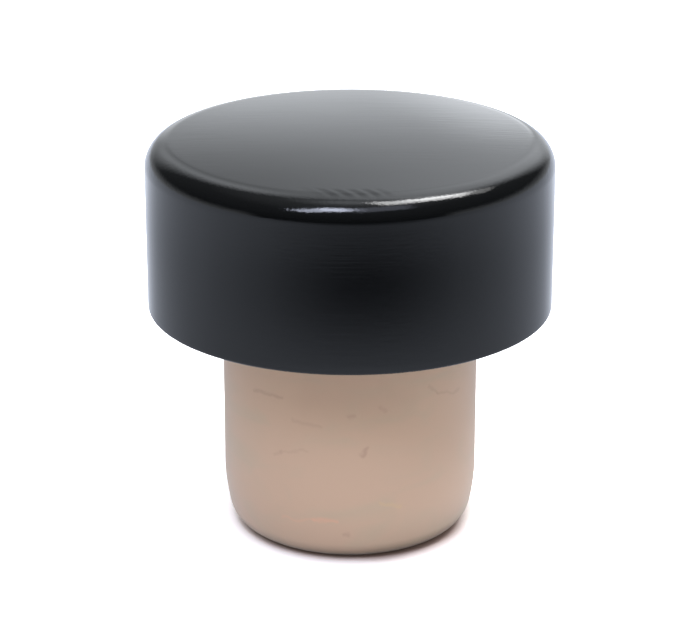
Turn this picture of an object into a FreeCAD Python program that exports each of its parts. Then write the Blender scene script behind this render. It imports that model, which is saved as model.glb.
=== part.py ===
import FreeCAD, Part
import math
import os

# A bar-top bottle stopper in millimetres, with +Z up. It is turned about the Z axis, and its
# origin is the centre of the foot that it stands on.
# The cap is one piece of turned and lacquered wood with a blind recess in its underside. The
# shank is one piece of synthetic cork, pushed up to the floor of the recess and glued there.

# Cap, outside
cap_diameter = 30.8
cap_height = 13.3  # from the underside to the top of the crown
cap_crown = 0.35  # rise of the top, from the corner under its rounding to the centre
cap_top_edge_radius = 2.0
cap_lower_edge_radius = 0.25

# Recess in the cap's underside
recess_depth = 6.0
recess_lead_in = 0.5  # 45 degree lead-in at the mouth

# Shank
shank_diameter = 19.5  # as it goes into the neck of a bottle
shank_exposed_length = 17.6  # from the foot to the cap's underside
seat_squeeze = 0.25  # how far the recess squeezes the cork in, on the radius
seat_end_chamfer = 0.6
glue_gap = 0.05  # glue film between the cork and the recess

# Foot of the shank
foot_taper_height = 3.25
foot_taper_inset = 0.7
foot_shoulder_radius = 14.5  # blends the straight wall into the taper
foot_edge_radius = 2.0  # rolls the taper under into the flat foot

# Largest part of the taper that its two roundings may take up
most_rounded_taper = 0.98

# Points nearer than this are one point of an outline
same_point = 1e-7

# Radii and heights that follow from the sizes above
cap_radius = cap_diameter / 2
shank_radius = shank_diameter / 2
recess_radius = shank_radius - seat_squeeze
mouth_radius = recess_radius + recess_lead_in
seat_radius = recess_radius - glue_gap
underside_height = shank_exposed_length
recess_floor_height = underside_height + recess_depth
crown_height = underside_height + cap_height


def point(radius, height):
    """Place in the section plane, as a distance from the axis and a height."""
    return FreeCAD.Vector(radius, 0, height)


def corner_arc(before, corner, after, radius):
    """Arc that is tangent to both straight sides of a corner."""
    towards_before = (before - corner).normalize()
    towards_after = (after - corner).normalize()
    half_angle = towards_before.getAngle(towards_after) / 2
    setback = radius / math.tan(half_angle)
    inward = (towards_before + towards_after).normalize()
    middle = corner + inward * (radius / math.sin(half_angle) - radius)
    return Part.Arc(corner + towards_before * setback, middle, corner + towards_after * setback)


def turned(outline):
    """Solid turned about the Z axis from an outline of points and arcs, with straight sides."""
    edges = []
    for step, following in zip(outline, outline[1:] + outline[:1]):
        last = step
        if isinstance(step, Part.Arc):
            edges.append(step.toShape())
            last = step.EndPoint
        start = following.StartPoint if isinstance(following, Part.Arc) else following
        if not last.isEqual(start, same_point):
            edges.append(Part.LineSegment(last, start).toShape())
    section = Part.Face(Part.Wire(edges))
    return section.revolve(FreeCAD.Vector(0, 0, 0), FreeCAD.Vector(0, 0, 1), 360)


def make_cap():
    """Turned wooden cap: crowned top, rounded rim, and a blind recess bored from below."""
    # The crown is a shallow sphere, and the rounding of the rim touches it and the wall
    crown_radius = (cap_radius**2 + cap_crown**2) / (2 * cap_crown)
    crown_centre = point(0, crown_height - crown_radius)
    rim_inset = cap_radius - cap_top_edge_radius
    rim_reach = crown_radius - cap_top_edge_radius
    rim_centre = crown_centre + point(rim_inset, math.sqrt(rim_reach**2 - rim_inset**2))
    up = point(0, 1)
    outward = point(1, 0)
    crown_end = (rim_centre - crown_centre).normalize()
    rim_start = rim_centre + crown_end * cap_top_edge_radius
    crown = Part.Arc(
        point(0, crown_height),
        crown_centre + (up + crown_end).normalize() * crown_radius,
        rim_start,
    )
    rim = Part.Arc(
        rim_start,
        rim_centre + (crown_end + outward).normalize() * cap_top_edge_radius,
        rim_centre + outward * cap_top_edge_radius,
    )
    lower_corner = point(cap_radius, underside_height)
    mouth = point(mouth_radius, underside_height)
    return turned(
        [
            crown,
            rim,
            corner_arc(rim.EndPoint, lower_corner, mouth, cap_lower_edge_radius),
            mouth,
            point(recess_radius, underside_height + recess_lead_in),
            point(recess_radius, recess_floor_height),
            point(0, recess_floor_height),
        ]
    )


def foot_radii():
    """Shoulder and edge radii of the foot, kept within the length of the taper between them."""
    lean = math.atan2(foot_taper_inset, foot_taper_height)
    taper_length = math.hypot(foot_taper_inset, foot_taper_height)
    shoulder_share = foot_shoulder_radius * math.tan(lean / 2)
    edge_share = foot_edge_radius * math.tan((math.pi / 2 - lean) / 2)
    fitted = min(1, most_rounded_taper * taper_length / (shoulder_share + edge_share))
    return foot_shoulder_radius * fitted, foot_edge_radius * fitted


def make_shank():
    """Synthetic cork: straight wall, softly tapered foot, and an end squeezed into the recess."""
    shoulder_radius, edge_radius = foot_radii()
    foot_centre = point(0, 0)
    foot_corner = point(shank_radius - foot_taper_inset, 0)
    shoulder = point(shank_radius, foot_taper_height)
    # The cork narrows from the cap's underside, and ends up one glue film away from the 45 degree
    # lead-in of the recess
    lead_in_line = mouth_radius + underside_height - glue_gap * math.sqrt(2)
    wall_end = point(shank_radius, min(underside_height, lead_in_line - shank_radius))
    return turned(
        [
            foot_centre,
            corner_arc(foot_centre, foot_corner, shoulder, edge_radius),
            corner_arc(foot_corner, shoulder, wall_end, shoulder_radius),
            wall_end,
            point(seat_radius, lead_in_line - seat_radius),
            point(seat_radius, recess_floor_height - seat_end_chamfer),
            point(seat_radius - seat_end_chamfer, recess_floor_height),
            point(0, recess_floor_height),
        ]
    )


os.makedirs("parts", exist_ok=True)
make_cap().exportStep("parts/wooden_cap.step")
make_shank().exportStep("parts/cork_shank.step")
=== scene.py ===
"""Looks of a bar-top bottle stopper: a black lacquered wooden cap on a synthetic cork shank."""

import math

import bpy
from bpy.props import FloatProperty, FloatVectorProperty, IntProperty, PointerProperty
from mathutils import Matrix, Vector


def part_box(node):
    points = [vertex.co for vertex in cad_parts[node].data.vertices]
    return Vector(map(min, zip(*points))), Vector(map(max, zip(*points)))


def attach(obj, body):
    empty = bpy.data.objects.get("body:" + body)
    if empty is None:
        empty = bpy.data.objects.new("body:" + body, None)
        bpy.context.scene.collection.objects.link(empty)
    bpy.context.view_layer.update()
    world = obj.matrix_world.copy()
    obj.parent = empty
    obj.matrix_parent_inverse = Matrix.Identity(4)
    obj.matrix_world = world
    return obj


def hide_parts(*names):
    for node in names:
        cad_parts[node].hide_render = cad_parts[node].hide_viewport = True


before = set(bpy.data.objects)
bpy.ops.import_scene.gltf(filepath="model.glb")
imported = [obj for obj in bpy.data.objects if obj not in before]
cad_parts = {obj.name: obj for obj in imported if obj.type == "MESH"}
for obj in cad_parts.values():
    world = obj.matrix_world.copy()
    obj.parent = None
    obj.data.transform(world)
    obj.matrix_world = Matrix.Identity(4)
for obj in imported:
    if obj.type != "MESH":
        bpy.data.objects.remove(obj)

bl_info = {
    "name": "Bottle stopper",
    "version": (1, 0, 0),
    "blender": (4, 5, 0),
    "location": "View3D > Sidebar > Stopper",
    "description": "Builds a lacquered wooden bottle stopper with its synthetic cork shank and a studio",
    "category": "Add Mesh",
}

MM = 0.001
CAP_LOW, CAP_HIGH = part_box("wooden_cap")
SHANK_LOW, SHANK_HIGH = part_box("cork_shank")
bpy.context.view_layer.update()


def linear(hex_colour):
    """Linear red, green and blue of an sRGB hex colour."""
    channels = [int(hex_colour[start:start + 2], 16) / 255 for start in (1, 3, 5)]
    return tuple(c / 12.92 if c <= 0.04045 else ((c + 0.055) / 1.055) ** 2.4 for c in channels)


def colour(name, description, hex_colour):
    """Colour property with an sRGB hex default."""
    return FloatVectorProperty(
        name=name, description=description, subtype="COLOR", size=3, min=0, max=1, default=linear(hex_colour)
    )


def length(name, description, default):
    """Length property in metres."""
    return FloatProperty(
        name=name, description=description, unit="LENGTH", precision=5, min=0, default=default
    )


class StopperCapSizes(bpy.types.PropertyGroup):
    """Sizes of the turned wooden cap."""

    diameter: length("Diameter", "Across the cap's wall", CAP_HIGH[0] - CAP_LOW[0])
    height: length("Height", "From the underside to the top of the crown", CAP_HIGH[2] - CAP_LOW[2])
    crown: length("Crown", "Rise of the top, from the corner under its rounding to the centre", 0.35 * MM)
    top_edge: length("Top edge radius", "Rounding between the crown and the wall", 2.0 * MM)
    lower_edge: length("Lower edge radius", "Rounding between the wall and the underside", 0.25 * MM)
    recess_diameter: length("Recess diameter", "Blind recess that holds the shank", 19.0 * MM)
    recess_depth: length("Recess depth", "From the underside to the recess's floor", 6.0 * MM)
    lead_in: length("Lead-in", "45 degree lead-in at the recess's mouth", 0.5 * MM)


class StopperShankSizes(bpy.types.PropertyGroup):
    """Sizes of the synthetic cork shank."""

    diameter: length("Diameter", "Across the straight wall", SHANK_HIGH[0] - SHANK_LOW[0])
    height: length("Height", "From the foot to the seated end", SHANK_HIGH[2] - SHANK_LOW[2])
    seat_diameter: length("Seat diameter", "Across the end squeezed into the recess", 18.9 * MM)
    seat_length: length("Seat length", "From the seated end to the free wall", 6.0 * MM)
    seat_lead: length("Seat lead-in", "Height of the cone between the free wall and the seat", 0.48 * MM)
    seat_chamfer: length("Seat chamfer", "On the seated end", 0.6 * MM)
    taper_height: length("Taper height", "From the foot to the start of the taper", 3.25 * MM)
    taper_inset: length("Taper inset", "How far the taper comes in at the foot", 0.7 * MM)
    shoulder: length("Shoulder radius", "Blends the straight wall into the taper", 14.5 * MM)
    foot_edge: length("Foot edge radius", "Rolls the taper under into the flat foot", 2.0 * MM)


class StopperFinishes(bpy.types.PropertyGroup):
    """Colours of the lacquered wood and of the synthetic cork."""

    stain: colour("Stain", "Black stain under the lacquer", "#030405")
    open_grain: colour("Open grain", "Stain in the open pores of the wood", "#060708")
    cork: colour("Cork", "Main tone of the synthetic cork", "#C2A48D")
    # The dark streaks' tone also paints shade in a wide band at the front, just under the cap
    cork_dark: colour("Cork, dark streaks", "Darker streaks in the foam", "#AA8C78")
    cork_green: colour("Cork, green clouds", "Greenish grey clouds in the foam", "#BCA48D")
    cork_orange: colour("Cork, orange streaks", "Orange streaks in the foam", "#D8A489")
    cork_yellow: colour("Cork, yellow streaks", "Yellowish streaks in the foam", "#C7AB86")


class StopperStudio(bpy.types.PropertyGroup):
    """Camera, light and mesh detail of the product shot."""

    camera_distance: length("Camera distance", "From the stopper's axis, along the floor", 180.0 * MM)
    camera_height: length("Camera height", "Above the floor", 83.71 * MM)
    camera_tilt: FloatProperty(
        name="Camera tilt", description="Below the horizon", unit="ROTATION", default=math.radians(20.365)
    )
    focal_length: FloatProperty(
        name="Focal length", description="Lens in millimetres on a 36 mm sensor", default=128.91
    )
    fill: FloatProperty(name="Fill", description="Strength of the soft light all round", min=0, default=0.8)
    segments: IntProperty(name="Segments", description="Facets round each turned piece", min=32, default=256)


# Facets along each stretch of a turned outline
CROWN_FACETS = 40
TOP_EDGE_FACETS = 32
WALL_FACETS = 24
LOWER_EDGE_FACETS = 8
UNDERSIDE_FACETS = 6
SHOULDER_FACETS = 12
TAPER_FACETS = 4
FOOT_EDGE_FACETS = 24
FOOT_FACETS = 12

# Edges that bend more than this stay crisp
SHARP_ANGLE = math.radians(30)


def arc(centre, radius, start, end, steps):
    """Points (radius, height) of an arc in the section plane, between two angles in radians."""
    angles = [start + (end - start) * step / steps for step in range(steps + 1)]
    return [(centre[0] + radius * math.cos(angle), centre[1] + radius * math.sin(angle)) for angle in angles]


def evenly(start, end, steps):
    """Points (radius, height) of a straight side, without its two ends."""
    return [
        (start[0] + (end[0] - start[0]) * step / steps, start[1] + (end[1] - start[1]) * step / steps)
        for step in range(1, steps)
    ]


def cap_outline(sizes, underside):
    """Section of the cap, from the top of its crown to the floor of its recess."""
    wall = sizes.diameter / 2
    top = underside + sizes.height
    crown_radius = (wall**2 + sizes.crown**2) / (2 * sizes.crown)
    edge_inset = wall - sizes.top_edge
    lean = math.asin(edge_inset / (crown_radius - sizes.top_edge))
    edge_height = top - crown_radius + (crown_radius - sizes.top_edge) * math.cos(lean)
    up = math.pi / 2
    recess = sizes.recess_diameter / 2
    lower_centre = (wall - sizes.lower_edge, underside + sizes.lower_edge)
    mouth = (recess + sizes.lead_in, underside)
    floor = underside + sizes.recess_depth
    outline = arc((0, top - crown_radius), crown_radius, up, up - lean, CROWN_FACETS)[:-1]
    outline += arc((edge_inset, edge_height), sizes.top_edge, up - lean, 0, TOP_EDGE_FACETS)
    outline += evenly((wall, edge_height), (wall, lower_centre[1]), WALL_FACETS)
    outline += arc(lower_centre, sizes.lower_edge, 0, -up, LOWER_EDGE_FACETS)
    outline += evenly((lower_centre[0], underside), mouth, UNDERSIDE_FACETS)
    outline += [mouth, (recess, underside + sizes.lead_in), (recess, floor), (0, floor)]
    return outline


def shank_outline(sizes):
    """Section of the shank, from its seated end to the centre of its foot."""
    wall = sizes.diameter / 2
    seat = sizes.seat_diameter / 2
    lean = math.atan2(sizes.taper_inset, sizes.taper_height)
    down = -math.pi / 2
    shoulder_height = sizes.taper_height + sizes.shoulder * math.tan(lean / 2)
    foot_corner = wall - sizes.taper_inset
    foot_flat = foot_corner - sizes.foot_edge * math.tan((math.pi / 2 - lean) / 2)
    shoulder_centre = (wall - sizes.shoulder, shoulder_height)
    shoulder = arc(shoulder_centre, sizes.shoulder, 0, -lean, SHOULDER_FACETS)
    foot = arc((foot_flat, sizes.foot_edge), sizes.foot_edge, -lean, down, FOOT_EDGE_FACETS)
    wall_end = (wall, sizes.height - sizes.seat_length)
    outline = [
        (0, sizes.height),
        (seat - sizes.seat_chamfer, sizes.height),
        (seat, sizes.height - sizes.seat_chamfer),
        (seat, wall_end[1] + sizes.seat_lead),
        wall_end,
    ]
    outline += evenly(wall_end, shoulder[0], WALL_FACETS)
    outline += shoulder
    outline += evenly(shoulder[-1], foot[0], TAPER_FACETS)
    outline += foot
    outline += evenly(foot[-1], (0, 0), FOOT_FACETS)
    outline.append((0, 0))
    return outline


def turned_object(name, outline, segments, material):
    """Mesh object turned about the Z axis from an outline that starts and ends on the axis."""
    vertices = [(0, 0, outline[0][1])]
    faces = []
    rings = outline[1:-1]
    for radius, height in rings:
        for segment in range(segments):
            angle = 2 * math.pi * segment / segments
            vertices.append((radius * math.cos(angle), radius * math.sin(angle), height))
    vertices.append((0, 0, outline[-1][1]))
    last = len(vertices) - 1
    for segment in range(segments):
        following = (segment + 1) % segments
        faces.append((0, 1 + segment, 1 + following))
        for ring in range(len(rings) - 1):
            upper = 1 + ring * segments
            lower = upper + segments
            faces.append((upper + segment, lower + segment, lower + following, upper + following))
        final = 1 + (len(rings) - 1) * segments
        faces.append((final + segment, last, final + following))
    mesh = bpy.data.meshes.new(name)
    mesh.from_pydata(vertices, [], faces)
    mesh.shade_smooth()
    mesh.set_sharp_from_angle(angle=SHARP_ANGLE)
    mesh.materials.append(material)
    piece = bpy.data.objects.new(name, mesh)
    bpy.context.scene.collection.objects.link(piece)
    return piece


def add_node(tree, kind, inputs=None, **settings):
    """Add a shader node, with each input set to a value or linked from a node or one of its outputs."""
    node = tree.nodes.new("ShaderNode" + kind)
    for name, value in settings.items():
        setattr(node, name, value)
    for socket, value in (inputs or {}).items():
        if isinstance(value, bpy.types.Node):
            value = next(output for output in value.outputs if output.enabled)
        if isinstance(value, bpy.types.NodeSocket):
            tree.links.new(value, node.inputs[socket])
        else:
            node.inputs[socket].default_value = value
    return node


def new_material(name):
    """Empty node material, with its tree."""
    material = bpy.data.materials.new(name)
    material.use_nodes = True
    material.node_tree.nodes.clear()
    return material, material.node_tree


def faded(tree, value, *fades):
    """A value thinned by fades. Each is a measure, where it has faded to nothing and where it is whole."""
    for measure, nothing, whole in fades:
        share = add_node(
            tree, "MapRange",
            {"Value": measure, "From Min": nothing, "From Max": whole},
            interpolation_type="SMOOTHSTEP",
        )
        value = add_node(tree, "Math", {0: value, 1: share}, operation="MULTIPLY")
    return value


def read_off(tree, place, graph):
    """Value at a place along a graph of straight stretches between (place, value) points."""
    highest = max(value for point, value in graph)
    ramp = add_node(tree, "ValToRGB", {"Fac": place})
    elements = ramp.color_ramp.elements
    while len(elements) < len(graph):
        elements.new(0.5)
    for element, (point, value) in zip(elements, graph):
        element.position = point
        element.color = (*[value / highest] * 3, 1)
    return add_node(tree, "Math", {0: ramp, 1: highest}, operation="MULTIPLY")


# Turned beech, stained black, with a sprayed clear lacquer in a satin gloss: a near black body
# under a sharp, slightly uneven reflection. The grain shows as faint slanted lines on the crown, and
# the sanded rounding makes the highlights along the rim ragged. Its scratches are finer than 0.1 mm
# and are drawn at 0.22 mm, so that they show.
GRAIN_DIRECTION = math.radians(-40)
FIBRE_WIDTH = 0.3 * MM
FIBRE_LENGTH = 6.0 * MM
FIBRE_THICKNESS = 0.15 * MM
FIBRE_RELIEF = 0.0025 * MM
SANDED_GRAIN = 0.22 * MM
SANDED_RELIEF = 0.009 * MM
LACQUER_ROUGHNESS = 0.1
LACQUER_WAVE = 5.0 * MM
LACQUER_WAVE_RELIEF = 0.004 * MM
GLOSS = 0.5

# Where the sanded rounding begins on the wall and on the crown, and is full. These are heights of the
# surface's normal, 0 on the wall and 1 at the centre of the crown.
ROUNDING_FROM_WALL = (0.1, 0.4)
ROUNDING_FROM_CROWN = (0.998, 0.95)

# Short slanted chatter marks of the lathe's tool, in a row at the front edge of the crown. They are
# duller than the lacquer, and fade out along the row and at both ends of each mark. Each pair says
# where there is no mark, and where it is full.
CHATTER_ROW = (0.788, 0.616, 0.0)  # direction
CHATTER_MIDDLE = -7.84 * MM  # along that direction
CHATTER_PITCH = 0.8 * MM
CHATTER_FROM_MARK = (0.48 * CHATTER_PITCH, 0.12 * CHATTER_PITCH)
CHATTER_DARKEST = 0.35 * CHATTER_PITCH  # before the middle of the row
CHATTER_FROM_DARKEST = (3.5 * CHATTER_PITCH, 1.3 * CHATTER_PITCH)
CHATTER_INNER_RADIUS = (12.5 * MM, 13.1 * MM)
CHATTER_OUTER_RADIUS = (14.35 * MM, 13.75 * MM)
CHATTER_FRONT = (0.0, -1.0 * MM)
CHATTER_FACING_UP = (0.2, 0.5)
CHATTER_DULL = 0.6


def chatter_marks(tree, place, facing_up):
    """1 in the chatter marks at the front edge of the crown, and 0 elsewhere."""
    along_row = add_node(tree, "VectorMath", {0: place, 1: CHATTER_ROW}, operation="DOT_PRODUCT")
    along_row = add_node(tree, "Math", {0: along_row, 1: CHATTER_MIDDLE}, operation="SUBTRACT")
    from_mark = add_node(tree, "Math", {0: along_row, 1: CHATTER_PITCH / 2}, operation="PINGPONG")
    from_darkest = add_node(tree, "Math", {0: along_row, 1: CHATTER_DARKEST}, operation="ADD")
    from_darkest = add_node(tree, "Math", {0: from_darkest}, operation="ABSOLUTE")
    from_axis = add_node(tree, "VectorMath", {0: place, 1: (1, 1, 0)}, operation="MULTIPLY")
    from_axis = add_node(tree, "VectorMath", {0: from_axis}, operation="LENGTH")
    behind = add_node(tree, "SeparateXYZ", {"Vector": place}).outputs["Y"]
    return faded(
        tree, 1.0,
        (from_mark, *CHATTER_FROM_MARK),
        (from_darkest, *CHATTER_FROM_DARKEST),
        (from_axis, *CHATTER_INNER_RADIUS),
        (from_axis, *CHATTER_OUTER_RADIUS),
        (behind, *CHATTER_FRONT),
        (facing_up, *CHATTER_FACING_UP),
    )


def lacquered_beech(finishes):
    """Black stained beech under clear satin lacquer."""
    material, tree = new_material("black_stained_beech_satin_lacquer")
    coordinates = add_node(tree, "TexCoord").outputs
    place = coordinates["Object"]
    facing_up = add_node(tree, "SeparateXYZ", {"Vector": coordinates["Normal"]}).outputs["Z"]
    along_grain = add_node(
        tree, "Mapping",
        {
            "Vector": place,
            "Rotation": (0, 0, -GRAIN_DIRECTION),
            "Scale": (FIBRE_WIDTH / FIBRE_LENGTH, 1, FIBRE_WIDTH / FIBRE_THICKNESS),
        },
    )
    fibres = add_node(
        tree, "TexNoise", {"Vector": along_grain, "Scale": 1 / FIBRE_WIDTH, "Detail": 3, "Roughness": 0.6}
    )
    tone = add_node(
        tree, "Mix",
        {"Factor": fibres, "A": (*finishes.stain, 1), "B": (*finishes.open_grain, 1)},
        data_type="RGBA",
    )
    wave = add_node(tree, "TexNoise", {"Vector": place, "Scale": 1 / LACQUER_WAVE, "Detail": 1})
    waved = add_node(tree, "Bump", {"Height": wave, "Distance": LACQUER_WAVE_RELIEF})
    grained = add_node(tree, "Bump", {"Height": fibres, "Distance": FIBRE_RELIEF, "Normal": waved})
    scratches = add_node(
        tree, "TexNoise", {"Vector": place, "Scale": 1 / SANDED_GRAIN, "Detail": 2, "Roughness": 0.6}
    )
    scratches = faded(tree, scratches, (facing_up, *ROUNDING_FROM_WALL), (facing_up, *ROUNDING_FROM_CROWN))
    sanded = add_node(tree, "Bump", {"Height": scratches, "Distance": SANDED_RELIEF, "Normal": grained})
    marks = chatter_marks(tree, place, facing_up)
    gloss = add_node(tree, "Math", {0: marks, 1: -GLOSS * CHATTER_DULL, 2: GLOSS}, operation="MULTIPLY_ADD")
    shader = add_node(
        tree, "BsdfPrincipled",
        {
            "Base Color": tone,
            "Roughness": LACQUER_ROUGHNESS,
            "IOR": 1.5,
            "Specular IOR Level": gloss,
            "Normal": sanded,
        },
    )
    add_node(tree, "OutputMaterial", {"Surface": shader})
    return material


# Foamed elastomer, extruded and cut as a synthetic cork: a smooth, matt skin in a beige tone with a
# slight bloom, faint greenish clouds, and a few soft, wavy streaks where the colours didn't mix. The
# dark streaks' tone also paints shade in a wide band at the front, just under the cap. The foam's
# cells are finer than 0.1 mm and are drawn at 0.25 mm, so that they show.
CORK_ROUGHNESS = 0.5
BLOOM = 0.35
BLOOM_ROUGHNESS = 0.5
CLOUD_WIDTH = 6.0 * MM
CLOUD_FLATNESS = 2.2
CLOUD_EDGE = (0.42, 0.75)
STREAK_WAVE = 1.2 * MM
STREAK_WAVE_REACH = 0.9 * MM
SKIN_GRAIN = 0.25 * MM
SKIN_RELIEF = 0.003 * MM

# Streaks on the wall. Each runs from an azimuth in degrees, with 0 at the front, and a height in
# millimetres to another such place, and then has its reach to each side and its strength.
DARK_STREAKS_AND_UNDER_CAP_SHADE = (
    ((-47, 13.0), (-31, 13.1), 0.22, 0.5),
    ((37, 13.7), (42, 13.0), 0.2, 0.35),
    ((42, 13.0), (57, 12.4), 0.22, 0.35),
    ((-1, 12.1), (3, 12.1), 0.25, 0.4),
    ((-25, 11.5), (-12, 11.1), 0.3, 0.28),
    ((5, 9.1), (7, 9.5), 0.3, 0.6),
    ((-36, 8.4), (-32, 8.7), 0.3, 0.3),
    ((-32, 8.7), (-19, 9.1), 0.22, 0.25),
    ((-3, 2.5), (-1, 2.5), 0.3, 0.45),
    ((14, 12.9), (16, 12.5), 0.22, 0.3),
    # The last, wide one is no streak but painted shade: a darker band at the front, just under the cap
    ((-16, 13.6), (22, 13.3), 2.6, 0.2),
)
ORANGE_STREAKS = (
    ((-16, 3.6), (-6, 3.7), 0.3, 0.5),
    ((-32, 3.2), (-16, 3.6), 0.2, 0.25),
)
YELLOW_STREAKS = (((13, 5.0), (23, 4.7), 0.3, 0.5),)


def unrolled_wall(tree, place, radius):
    """Place on the shank's wall as if it were unrolled, with 0 at the front, and slightly wavy."""
    parts = add_node(tree, "SeparateXYZ", {"Vector": place}).outputs
    in_front = add_node(tree, "Math", {0: parts["Y"], 1: -1.0}, operation="MULTIPLY")
    azimuth = add_node(tree, "Math", {0: parts["X"], 1: in_front}, operation="ARCTAN2")
    across = add_node(tree, "Math", {0: azimuth, 1: radius}, operation="MULTIPLY")
    unrolled = add_node(tree, "CombineXYZ", {"X": across, "Y": parts["Z"]})
    wave = add_node(tree, "TexNoise", {"Vector": place, "Scale": 1 / STREAK_WAVE, "Detail": 2})
    wave = wave.outputs["Color"]
    wave = add_node(tree, "VectorMath", {0: wave, 1: (0.5, 0.5, 0.5)}, operation="SUBTRACT")
    reach = (STREAK_WAVE_REACH, STREAK_WAVE_REACH, 0)
    return add_node(tree, "VectorMath", {0: wave, 1: reach, 2: unrolled}, operation="MULTIPLY_ADD")


def streak(tree, unrolled, start, end, reach, strength):
    """A streak's strength along a short line on the unrolled wall, which fades to 0 at its reach."""
    along = (end[0] - start[0], end[1] - start[1], 0)
    per_length = [part / (along[0]**2 + along[1]**2) for part in along]
    from_start = add_node(tree, "VectorMath", {0: unrolled, 1: (*start, 0)}, operation="SUBTRACT")
    share = add_node(tree, "VectorMath", {0: from_start, 1: per_length}, operation="DOT_PRODUCT")
    share = add_node(tree, "Clamp", {"Value": share})
    nearest = add_node(tree, "VectorMath", {0: along, "Scale": share}, operation="SCALE")
    away = add_node(tree, "VectorMath", {0: from_start, 1: nearest}, operation="DISTANCE")
    return faded(tree, strength, (away, reach, 0.0))


def with_streaks(tree, tone, unrolled, streaks, streak_tone, radius):
    """Tone of the cork with streaks of another tone over it."""
    for start, end, reach, strength in streaks:
        ends = [(math.radians(azimuth) * radius, height * MM) for azimuth, height in (start, end)]
        share = streak(tree, unrolled, *ends, reach * MM, strength)
        tone = add_node(tree, "Mix", {"Factor": share, "A": tone, "B": (*streak_tone, 1)}, data_type="RGBA")
    return tone


def synthetic_cork(finishes, radius):
    """Beige foamed elastomer with a smooth, matt skin, faint clouds of colour, soft streaks and painted
    shade under the cap.
    """
    material, tree = new_material("synthetic_cork_foamed_elastomer")
    place = add_node(tree, "TexCoord").outputs["Object"]
    flattened = add_node(tree, "Mapping", {"Vector": place, "Scale": (1, 1, CLOUD_FLATNESS)})
    clouds = add_node(
        tree, "TexNoise", {"Vector": flattened, "Scale": 1 / CLOUD_WIDTH, "Detail": 2, "Distortion": 0.8}
    )
    clouds = faded(tree, 1.0, (clouds, *CLOUD_EDGE))
    tone = add_node(
        tree, "Mix",
        {"Factor": clouds, "A": (*finishes.cork, 1), "B": (*finishes.cork_green, 1)},
        data_type="RGBA",
    )
    unrolled = unrolled_wall(tree, place, radius)
    for streaks, streak_tone in (
        (DARK_STREAKS_AND_UNDER_CAP_SHADE, finishes.cork_dark),
        (ORANGE_STREAKS, finishes.cork_orange),
        (YELLOW_STREAKS, finishes.cork_yellow),
    ):
        tone = with_streaks(tree, tone, unrolled, streaks, streak_tone, radius)
    skin = add_node(tree, "TexNoise", {"Vector": place, "Scale": 1 / SKIN_GRAIN, "Detail": 2})
    relief = add_node(tree, "Bump", {"Height": skin, "Distance": SKIN_RELIEF})
    shader = add_node(
        tree, "BsdfPrincipled",
        {
            "Base Color": tone,
            "Roughness": CORK_ROUGHNESS,
            "IOR": 1.45,
            "Sheen Weight": BLOOM,
            "Sheen Roughness": BLOOM_ROUGHNESS,
            "Normal": relief,
        },
    )
    add_node(tree, "OutputMaterial", {"Surface": shader})
    return material


class STOPPER_OT_turn_cap(bpy.types.Operator):
    """Turn the wooden cap and lacquer it black"""

    bl_idname = "stopper.turn_cap"
    bl_label = "Turn the cap"

    def execute(self, context):
        scene = context.scene
        outline = cap_outline(scene.stopper_cap, CAP_LOW[2])
        material = lacquered_beech(scene.stopper_finishes)
        cap = turned_object("lacquered_cap", outline, scene.stopper_studio.segments, material)
        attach(cap, "root")
        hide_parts("wooden_cap")
        return {"FINISHED"}


class STOPPER_OT_mould_shank(bpy.types.Operator):
    """Mould the synthetic cork shank"""

    bl_idname = "stopper.mould_shank"
    bl_label = "Mould the shank"

    def execute(self, context):
        scene = context.scene
        outline = shank_outline(scene.stopper_shank)
        material = synthetic_cork(scene.stopper_finishes, scene.stopper_shank.diameter / 2)
        shank = turned_object("moulded_shank", outline, scene.stopper_studio.segments, material)
        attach(shank, "root")
        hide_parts("cork_shank")
        return {"FINISHED"}


# Studio that the lacquer mirrors: a white tent behind and overhead, brighter to each side, which ends
# at a soft slanted edge left, right and over the front, bright gaps low behind it, a glow on the
# ceiling, and a white sheet that rises low at the sides. Directions are unit vectors from the
# stopper. The tones are graphs over a direction's height, which is its Z, and each pair says at which
# X, Y or Z a thing has faded out and where it is full.
WHITE = (1.0, 1.0, 1.0, 1)
TENT_TINT = (0.96, 1.0, 1.05, 1)
TENT_TONES = (
    (0.0, 0.38), (0.2, 0.335), (0.34, 0.51), (0.5, 0.66), (0.64, 0.98), (0.77, 1.45), (0.87, 2.15),
    (0.91, 2.35), (0.94, 2.95), (0.985, 1.95), (1.0, 1.4),
)
TENT_LEFT = (-0.08, -0.35)
TENT_LEFT_TONES = ((0.2, 1.1), (0.4, 1.25), (0.6, 1.35), (0.8, 1.6), (0.95, 0.7))
TENT_RIGHT = (-0.12, 0.275)
TENT_RIGHT_TONES = ((0.1, 2.2), (0.26, 2.4), (0.42, 1.95), (0.6, 1.4), (0.77, 0.6), (0.9, 0.0))
CEILING_TONES = ((0.0, 0.04), (0.7, 0.15), (0.94, 0.38), (0.985, 0.9), (1.0, 1.75))
SHEET_TONE = 0.92
SHEET_RISE = (0.305, -0.11)
SHEET_FRONT_END = (-0.7, -0.45)

# Each edge of the tent has the direction that it faces and its blur, and each gap has its middle, its
# reach and its brightness
TENT_EDGES = (
    ((0.82, 0.56, -0.10), 0.35),
    ((-0.81, 0.45, 0.38), 0.20),
    ((0.0, 0.974, 0.225), 0.08),
)
GAPS = (
    ((-0.055, 0.992, 0.116), 0.265, 1.62),
    ((0.10, 0.977, 0.19), 0.10, 1.75),
    ((0.088, 0.962, 0.257), 0.06, 0.42),
)

# Fill for matt surfaces: the same all round, apart from a glow low at both sides, which is stronger
# at the right and is taken away from the front and the back
SIDE_GLOW = 0.5
SIDE_GLOW_MEAN = 0.5
SIDE_GLOW_HEIGHTS = (0.8, 0.0)
RIGHT_GLOW = 0.12


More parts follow.
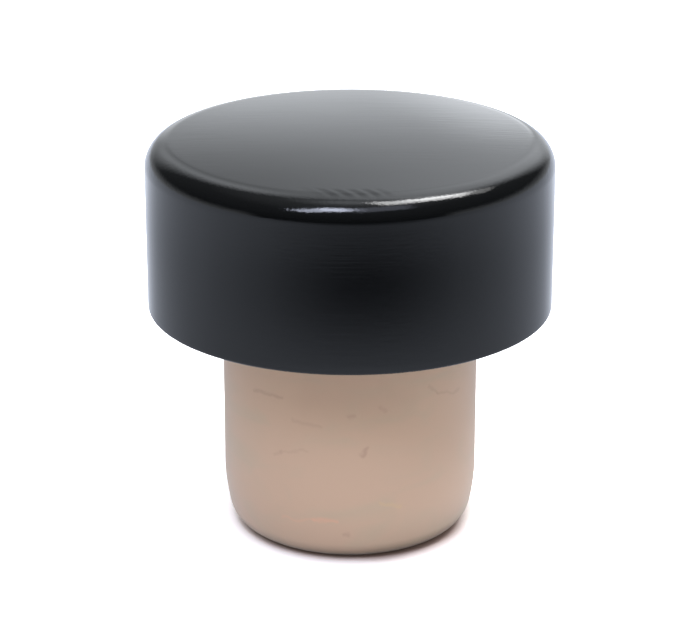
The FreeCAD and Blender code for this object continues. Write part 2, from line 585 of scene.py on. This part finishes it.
def mirrored_surroundings(tree, direction):
    """Brightness of the studio round the stopper, as the lacquer mirrors it."""
    parts = add_node(tree, "SeparateXYZ", {"Vector": direction}).outputs
    tent = read_off(tree, parts["Z"], TENT_TONES)
    sides = 1.0
    for side, tones in ((TENT_LEFT, TENT_LEFT_TONES), (TENT_RIGHT, TENT_RIGHT_TONES)):
        glow = faded(tree, read_off(tree, parts["Z"], tones), (parts["X"], *side))
        sides = add_node(tree, "Math", {0: sides, 1: glow}, operation="ADD")
    tent = add_node(tree, "Math", {0: tent, 1: sides}, operation="MULTIPLY")
    for middle, reach, brightness in GAPS:
        away = add_node(tree, "VectorMath", {0: direction, 1: middle}, operation="DISTANCE")
        glow = faded(tree, brightness, (away, reach, 0.0))
        tent = add_node(tree, "Math", {0: tent, 1: glow}, operation="ADD")
    for normal, blur in TENT_EDGES:
        inside = add_node(tree, "VectorMath", {0: direction, 1: normal}, operation="DOT_PRODUCT")
        tent = faded(tree, tent, (inside, -blur, blur))
    sheet = faded(tree, SHEET_TONE, (parts["Z"], *SHEET_RISE), (parts["Y"], *SHEET_FRONT_END))
    ceiling = read_off(tree, parts["Z"], CEILING_TONES)
    brightest = add_node(tree, "Math", {0: tent, 1: sheet}, operation="MAXIMUM")
    return add_node(tree, "Math", {0: brightest, 1: ceiling}, operation="MAXIMUM")


def matt_fill(tree, direction, fill):
    """Strength of the fill from each direction."""
    parts = add_node(tree, "SeparateXYZ", {"Vector": direction}).outputs
    sideways = add_node(tree, "Math", {0: parts["X"], 1: RIGHT_GLOW}, operation="ADD")
    sideways = add_node(
        tree, "Math", {0: sideways, 1: parts["X"], 2: -SIDE_GLOW_MEAN}, operation="MULTIPLY_ADD"
    )
    sideways = faded(tree, sideways, (parts["Z"], *SIDE_GLOW_HEIGHTS))
    return add_node(tree, "Math", {0: sideways, 1: SIDE_GLOW * fill, 2: fill}, operation="MULTIPLY_ADD")


def studio_world(studio):
    """White for the camera, a soft fill for matt surfaces, and the studio for reflections."""
    world = bpy.data.worlds.new("studio")
    world.use_nodes = True
    tree = world.node_tree
    tree.nodes.clear()
    direction = add_node(tree, "TexCoord").outputs["Generated"]
    rays = add_node(tree, "LightPath").outputs
    strength = matt_fill(tree, direction, studio.fill)
    fill = add_node(tree, "Background", {"Color": WHITE, "Strength": strength})
    brightness = mirrored_surroundings(tree, direction)
    reflected = add_node(tree, "Background", {"Color": TENT_TINT, "Strength": brightness})
    seen = add_node(tree, "Background", {"Color": WHITE, "Strength": 1.0})
    lit = add_node(tree, "MixShader", {0: rays["Is Glossy Ray"], 1: fill, 2: reflected})
    shown = add_node(tree, "MixShader", {0: rays["Is Camera Ray"], 1: lit, 2: seen})
    add_node(tree, "OutputWorld", {"Surface": shown})
    return world


# White paper sheet under the stopper. It is lit well past white, so only the dark line where the foot
# rolls under shows. That line is partly the sheet's real shadow and partly painted shadow: the contact
# graphs go over how open the sky is there, darken the paper's colour towards a brown shade, and darken
# its bounce and its mirrored glow. The painted shadow leans a little to the right and the front right.
SHEET_SIZE = 6.0
SHEET_SEEN = 2.0
CONTACT_REACH = 4.0 * MM
CONTACT_CLEAR = ((0.0, 0.0), (0.15, 0.05), (0.3, 0.2), (0.45, 0.46), (0.6, 0.7), (0.82, 1.0))
CONTACT_BOUNCE = ((0.0, 0.0), (0.4, 0.0), (0.52, 0.24), (0.7, 0.6))
# Colour of the painted contact shadow in the paper
CONTACT_SHADE = "#AC9086"
CONTACT_LEAN = 0.06
PAINTED_SHADOW_SIDE = (0.64, -0.77, 0.0)
PAINTED_SHADOW_SIDE_SPREAD = (0.77, 0.97)
PAINTED_SHADOW_SIDE_SHIFT = 0.1

# The lacquer mirrors the sheet, which for mirror rays glows with painted tones, a painted reflection
# that falls off to the dark front of the room. The tones at the sides and in front go over the distance,
# in shares of the reach, and those behind over how straight behind a place lies. The last graph is the
# share of the front's tones over how far a place lies to the dark side.
SHEET_REACH = 0.4
SHEET_MIRRORED_TINT = (0.93, 1.0, 1.15, 1)
SHEET_SIDE_TONES = ((0.14, 0.76), (0.2, 0.83), (0.22, 0.92), (0.24, 1.0), (1.0, 0.96))
SHEET_FRONT_TONES = (
    (0.15, 0.75), (0.1575, 0.6), (0.1725, 0.42), (0.1875, 0.2), (0.21, 0.04), (0.22, 0.06), (0.2275, 0.22),
    (0.24, 0.37), (0.275, 0.42), (1.0, 0.12),
)
SHEET_BEHIND_TONES = ((0.43, 1.0), (0.61, 1.05), (0.76, 1.25), (0.84, 1.38), (1.0, 1.42))
DARK_SIDE = (0.14, -0.99, 0.0)
DARK_SIDE_SHARES = ((0.0, 0.05), (0.35, 0.22), (0.65, 0.47), (0.87, 0.78), (1.0, 1.0))


def mirrored_sheet(tree, place, direction):
    """Painted brightness of the sheet's glow, as the lacquer mirrors it."""
    distance = add_node(tree, "VectorMath", {0: place}, operation="LENGTH")
    distance = add_node(tree, "Math", {0: distance, 1: SHEET_REACH}, operation="DIVIDE")
    ahead = add_node(tree, "VectorMath", {0: direction, 1: DARK_SIDE}, operation="DOT_PRODUCT")
    behind = add_node(tree, "SeparateXYZ", {"Vector": direction}).outputs["Y"]
    tone = add_node(
        tree, "Mix",
        {
            "Factor": read_off(tree, ahead, DARK_SIDE_SHARES),
            "A": read_off(tree, distance, SHEET_SIDE_TONES),
            "B": read_off(tree, distance, SHEET_FRONT_TONES),
        },
    )
    behind_tone = read_off(tree, behind, SHEET_BEHIND_TONES)
    return add_node(tree, "Math", {0: tone, 1: behind_tone}, operation="MULTIPLY")


def open_sky_and_painted_lean(tree, direction):
    """How open the sky is above a place on the sheet: 0 under the foot and 1 in the open. It is made
    smaller to the right and larger to the left, and smaller again to the front right, so that the
    painted shadow leans there.
    """
    sky = add_node(tree, "AmbientOcclusion", {"Distance": CONTACT_REACH}).outputs["AO"]
    right = add_node(tree, "SeparateXYZ", {"Vector": direction}).outputs["X"]
    sky = add_node(tree, "Math", {0: right, 1: -CONTACT_LEAN, 2: sky}, operation="MULTIPLY_ADD")
    shaded = add_node(tree, "VectorMath", {0: direction, 1: PAINTED_SHADOW_SIDE}, operation="DOT_PRODUCT")
    shaded = faded(tree, PAINTED_SHADOW_SIDE_SHIFT, (shaded, *PAINTED_SHADOW_SIDE_SPREAD))
    return add_node(tree, "Math", {0: sky, 1: shaded}, operation="SUBTRACT")


def white_sheet():
    """Floor material: white paper that keeps the stopper's shadow, with a painted contact shadow added
    in its colour, and clips to white beyond it.
    """
    material, tree = new_material("white_paper_sheet")
    place = add_node(tree, "TexCoord").outputs["Object"]
    direction = add_node(tree, "VectorMath", {0: place}, operation="NORMALIZE")
    sky = open_sky_and_painted_lean(tree, direction)
    clear = read_off(tree, sky, CONTACT_CLEAR)
    tone = mirrored_sheet(tree, place, direction)
    # The mirrored glow is darkened by the painted contact shadow too
    tone = add_node(tree, "Math", {0: tone, 1: clear}, operation="MULTIPLY")
    # For mirror rays the sheet glows: painted light, not paper lit by the lamps
    mirrored = add_node(tree, "Emission", {"Color": SHEET_MIRRORED_TINT, "Strength": tone})
    # The paper's bounce is darkened where the sky is closed: painted shade, which darkens the foot's
    # underside
    bounce = add_node(tree, "BsdfDiffuse", {"Color": read_off(tree, sky, CONTACT_BOUNCE)})
    # Painted contact shadow: the paper's colour turns to the brown shade where the sky is closed
    paper = add_node(
        tree, "Mix",
        {"Factor": clear, "A": (*linear(CONTACT_SHADE), 1), "B": (SHEET_SEEN, SHEET_SEEN, SHEET_SEEN, 1)},
        data_type="RGBA",
    )
    seen = add_node(tree, "BsdfDiffuse", {"Color": paper})
    rays = add_node(tree, "LightPath").outputs
    lit = add_node(tree, "MixShader", {0: rays["Is Glossy Ray"], 1: bounce, 2: mirrored})
    shown = add_node(tree, "MixShader", {0: rays["Is Camera Ray"], 1: lit, 2: seen})
    add_node(tree, "OutputMaterial", {"Surface": shown})
    return material


# Lamps overhead, which the rounding mirrors as bright streaks. Each has its place and size in metres
# as seen at 1 m above the stopper, its turn in degrees, its brightness, its tint and its height in
# metres. Lamps that overlap hang at different heights, so that none hides another.
WHITE_LAMP = (1.0, 1.0, 1.0)
COLD_LAMP = (0.92, 0.98, 1.2)
LAMPS = {
    "side_lamp": ((0.45, -0.01), (0.67, 0.29), 28, 10.0, WHITE_LAMP, 1.0),
    "side_lamp_core": ((0.46, 0.08), (0.38, 0.1), 33, 8.0, WHITE_LAMP, 0.96),
    "side_lamp_end": ((0.69, 0.18), (0.68, 0.31), 20, 2.6, WHITE_LAMP, 1.04),
    "front_lamp": ((-0.34, -0.80), (0.65, 0.28), 30, 8.0, COLD_LAMP, 1.0),
    "front_lamp_core": ((-0.12, -0.66), (0.33, 0.36), 38, 5.5, COLD_LAMP, 0.96),
    "front_lamp_end": ((0.24, -0.66), (0.63, 0.45), 31, 1.05, COLD_LAMP, 1.04),
}


def add_to_scene(name, data):
    """Object of a mesh, lamp or camera, linked to the scene."""
    holder = bpy.data.objects.new(name, data)
    bpy.context.scene.collection.objects.link(holder)
    return holder


def lay_sheet():
    """Square white sheet on the floor."""
    half = SHEET_SIZE / 2
    mesh = bpy.data.meshes.new("white_sheet")
    corners = [(-half, -half, 0), (half, -half, 0), (half, half, 0), (-half, half, 0)]
    mesh.from_pydata(corners, [], [(0, 1, 2, 3)])
    mesh.materials.append(white_sheet())
    add_to_scene("white_sheet", mesh)


def hang_lamp(name, place, size, turn, brightness, tint, height):
    """Flat rectangular lamp that shines down evenly."""
    lamp = bpy.data.lights.new(name, "AREA")
    lamp.shape = "RECTANGLE"
    lamp.size, lamp.size_y = (side * height for side in size)
    lamp.color = tint
    lamp.energy = brightness * math.pi * lamp.size * lamp.size_y
    holder = add_to_scene(name, lamp)
    holder.location = (place[0] * height, place[1] * height, height)
    holder.rotation_euler = (0, 0, math.radians(turn))


def place_camera(studio):
    """Camera in front of the stopper, looking down at it."""
    lens = bpy.data.cameras.new("camera")
    lens.lens = studio.focal_length
    lens.clip_start = 10 * MM
    camera = add_to_scene("camera", lens)
    camera.location = (0, -studio.camera_distance, studio.camera_height)
    camera.rotation_euler = (math.pi / 2 - studio.camera_tilt, 0, 0)
    bpy.context.scene.camera = camera


class STOPPER_OT_set_studio(bpy.types.Operator):
    """Lay the white sheet, hang the lamps and place the camera"""

    bl_idname = "stopper.set_studio"
    bl_label = "Set the studio"

    def execute(self, context):
        studio = context.scene.stopper_studio
        context.scene.world = studio_world(studio)
        context.scene.view_settings.view_transform = "Standard"
        lay_sheet()
        for name, lamp in LAMPS.items():
            hang_lamp(name, *lamp)
        place_camera(studio)
        return {"FINISHED"}


class STOPPER_PT_panel(bpy.types.Panel):
    """Sizes, colours and steps of the stopper"""

    bl_idname = "STOPPER_PT_panel"
    bl_label = "Bottle stopper"
    bl_space_type = "VIEW_3D"
    bl_region_type = "UI"
    bl_category = "Stopper"

    def draw(self, context):
        layout = self.layout
        scene = context.scene
        for group in (scene.stopper_cap, scene.stopper_shank, scene.stopper_finishes, scene.stopper_studio):
            box = layout.box()
            for name in group.bl_rna.properties.keys():
                if name not in ("rna_type", "name"):
                    box.prop(group, name)
        for operator in (STOPPER_OT_turn_cap, STOPPER_OT_mould_shank, STOPPER_OT_set_studio):
            layout.operator(operator.bl_idname)


CLASSES = (
    StopperCapSizes,
    StopperShankSizes,
    StopperFinishes,
    StopperStudio,
    STOPPER_OT_turn_cap,
    STOPPER_OT_mould_shank,
    STOPPER_OT_set_studio,
    STOPPER_PT_panel,
)


def register():
    """Register the classes and give each scene its sizes, colours and studio."""
    for cls in CLASSES:
        bpy.utils.register_class(cls)
    bpy.types.Scene.stopper_cap = PointerProperty(type=StopperCapSizes)
    bpy.types.Scene.stopper_shank = PointerProperty(type=StopperShankSizes)
    bpy.types.Scene.stopper_finishes = PointerProperty(type=StopperFinishes)
    bpy.types.Scene.stopper_studio = PointerProperty(type=StopperStudio)


def unregister():
    """Take away what register added."""
    del bpy.types.Scene.stopper_studio
    del bpy.types.Scene.stopper_finishes
    del bpy.types.Scene.stopper_shank
    del bpy.types.Scene.stopper_cap
    for cls in reversed(CLASSES):
        bpy.utils.unregister_class(cls)


def main():
    """Build the stopper and its studio."""
    register()
    bpy.ops.stopper.turn_cap()
    bpy.ops.stopper.mould_shank()
    bpy.ops.stopper.set_studio()


if __name__ == "__main__":
    main()
